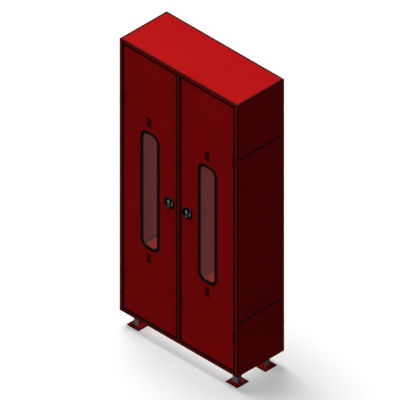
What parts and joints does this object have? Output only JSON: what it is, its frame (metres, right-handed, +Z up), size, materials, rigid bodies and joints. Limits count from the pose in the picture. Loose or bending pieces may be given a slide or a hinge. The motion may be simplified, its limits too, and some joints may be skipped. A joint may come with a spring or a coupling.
{
  "type": "standpipe cabinet",
  "caption": "Tall steel fire equipment cabinet with hinged window doors, flush turn latches, vent slots and inner shelves, standing on angle legs with base plates.",
  "frame": {"origin": "on the floor, midway across the width and midway between the fronts of the hinge barrels and the back panel", "axes": "+Z up, -Y out of the doors, +X to the right as seen from the front"},
  "size_m": [1, 0.41, 2.11],
  "materials": {
    "red_paint": "powder coat, satin",
    "bare_steel": "plain mill steel",
    "zinc": "zinc plated",
    "latch_silver": "satin cast metal",
    "black_plastic": "satin",
    "black_rubber": "matte",
    "window_glass": "clear, polished"
  },
  "bodies": {
    "cabinet": {"roof_panel": "red_paint", "floor_panel": "red_paint", "back_panel": "red_paint", "left_side_panel": "red_paint", "right_side_panel": "red_paint", "left_stile": "red_paint", "right_stile": "red_paint", "top_rail": "red_paint", "bottom_rail": "red_paint", "centre_mullion": "red_paint", "centre_partition": "red_paint", "strike_plate": "zinc", "lower_left_shelf": "red_paint", "lower_right_shelf": "red_paint", "upper_left_shelf": "red_paint", "upper_right_shelf": "red_paint", "front_left_leg": "bare_steel", "front_right_leg": "bare_steel", "back_left_leg": "bare_steel", "back_right_leg": "bare_steel", "front_left_base_plate": "red_paint", "front_right_base_plate": "red_paint", "back_left_base_plate": "red_paint", "back_right_base_plate": "red_paint", "left_door_seal": "black_rubber", "right_door_seal": "black_rubber", "left_lower_hinge_frame_half": "red_paint", "left_upper_hinge_frame_half": "red_paint", "right_lower_hinge_frame_half": "red_paint", "right_upper_hinge_frame_half": "red_paint", "left_lower_hinge_pin": "zinc", "left_upper_hinge_pin": "zinc", "right_lower_hinge_pin": "zinc", "right_upper_hinge_pin": "zinc"},
    "left_door": {"left_door_shell": "red_paint", "left_window_gasket": "black_rubber", "left_window_glass": "window_glass", "left_latch_bezel": "black_plastic", "left_latch_dish": "latch_silver", "left_door_lower_stiffener": "red_paint", "left_door_upper_stiffener": "red_paint", "left_lower_hinge_door_half": "red_paint", "left_upper_hinge_door_half": "red_paint"},
    "right_door": {"right_door_shell": "red_paint", "right_window_gasket": "black_rubber", "right_window_glass": "window_glass", "right_latch_bezel": "black_plastic", "right_latch_dish": "latch_silver", "right_door_lower_stiffener": "red_paint", "right_door_upper_stiffener": "red_paint", "right_lower_hinge_door_half": "red_paint", "right_upper_hinge_door_half": "red_paint"},
    "left_latch": {"left_latch_grip": "latch_silver", "left_latch_cam": "zinc", "left_latch_nut": "zinc"},
    "right_latch": {"right_latch_grip": "latch_silver", "right_latch_cam": "zinc", "right_latch_nut": "zinc"}
  },
  "joints": [
    {"name": "left_door_hinge", "type": "hinge", "parent": "cabinet", "child": "left_door", "pos_m": [-0.473, -0.1998, 0.11], "axis": [0, 0, -1], "range_deg": [0, 170]},
    {"name": "right_door_hinge", "type": "hinge", "parent": "cabinet", "child": "right_door", "pos_m": [0.473, -0.1998, 0.11], "axis": [0, 0, 1], "range_deg": [0, 170]},
    {"name": "left_latch_turn", "type": "hinge", "parent": "left_door", "child": "left_latch", "pos_m": [-0.076, -0.192, 1.11], "axis": [0, -1, 0], "range_deg": [0, 90]},
    {"name": "right_latch_turn", "type": "hinge", "parent": "right_door", "child": "right_latch", "pos_m": [0.076, -0.192, 1.11], "axis": [0, 1, 0], "range_deg": [0, 90]}
  ]
}
